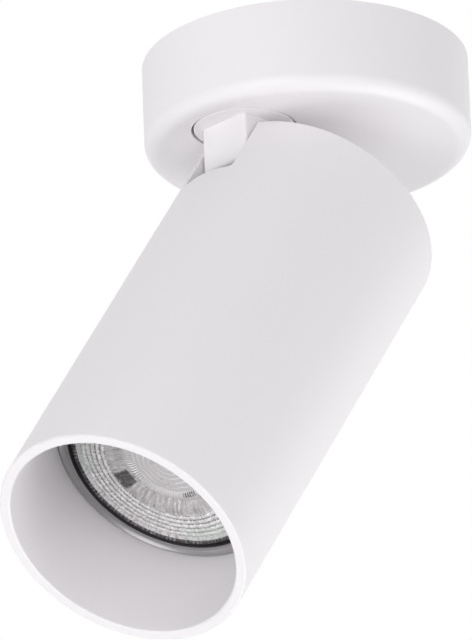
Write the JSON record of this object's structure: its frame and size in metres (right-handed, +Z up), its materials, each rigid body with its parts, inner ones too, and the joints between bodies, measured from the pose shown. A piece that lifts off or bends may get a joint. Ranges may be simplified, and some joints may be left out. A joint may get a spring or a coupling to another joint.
{
  "type": "surface mounted ceiling spotlight",
  "caption": "Round ceiling canopy with an off-centre swivel, a square hinge post and a slotted cylindrical head that tilts, holding a recessed twist-lock reflector lamp.",
  "frame": {"origin": "centre of the canopy's ceiling face", "axes": "+Z up into the ceiling, the light aims towards -Y at rest, X across the hinge"},
  "size_m": [0.0819, 0.1335, 0.1589],
  "materials": {
    "white_coat": "satin white powder coat",
    "cap_coat": "satin white powder coat on cast aluminium",
    "plated_steel": "zinc plated",
    "screw_steel": "nickel plated",
    "tinned_brass": "tinned",
    "brass": "plain",
    "pin_nickel": "nickel plated",
    "block_nylon": "moulded",
    "washer_nylon": "moulded",
    "ceramic": "unglazed ceramic",
    "ring_grey": "glossy grey",
    "bowl_silver": "satin",
    "bezel_grey": "dark textured",
    "lens_clear": "faceted clear optic over a bright reflector",
    "board_white": "white board",
    "chip_yellow": "phosphor",
    "base_white": "moulded"
  },
  "bodies": {
    "canopy_body": {"canopy": "white_coat", "ceiling_bracket": "plated_steel", "canopy_screw": "white_coat", "earth_tag": "tinned_brass", "earth_screw": "screw_steel", "terminal_block": "block_nylon", "terminal_tubes": "brass", "terminal_screws": "screw_steel", "block_screw": "screw_steel"},
    "swivel_body": {"hinge_post": "white_coat", "thrust_washer": "washer_nylon", "friction_washer": "washer_nylon", "stop_washer": "plated_steel", "wave_washer": "plated_steel", "swivel_nut": "plated_steel", "cable_bush": "washer_nylon", "pivot_screws": "screw_steel", "pivot_washers": "washer_nylon"},
    "head_body": {"head_tube": "white_coat", "rear_cap": "cap_coat", "cap_screw": "screw_steel", "lamp_cradle": "plated_steel", "cradle_screws": "screw_steel", "lampholder": "ceramic", "holder_contacts": "brass", "holder_screws": "screw_steel", "lamp_ring": "ring_grey"},
    "lamp_body": {"lamp_bowl": "bowl_silver", "lamp_bezel": "bezel_grey", "lamp_lens": "lens_clear", "led_board": "board_white", "led_chips": "chip_yellow", "lamp_base": "base_white", "lamp_pins": "pin_nickel"}
  },
  "joints": [
    {"name": "swivel_turn", "type": "hinge", "parent": "canopy_body", "child": "swivel_body", "pos_m": [0, -0.0217, -0.02], "axis": [0, 0, 1], "range_deg": [-170, 170]},
    {"name": "head_tilt", "type": "hinge", "parent": "swivel_body", "child": "head_body", "pos_m": [0, -0.0217, -0.034], "axis": [-1, 0, 0], "range_deg": [-34.3, 55.7]},
    {"name": "lamp_twist", "type": "hinge", "parent": "head_body", "child": "lamp_body", "pos_m": [0, -0.03907, -0.09943], "axis": [0, -0.5635, -0.8261], "range_deg": [0, 30]}
  ]
}
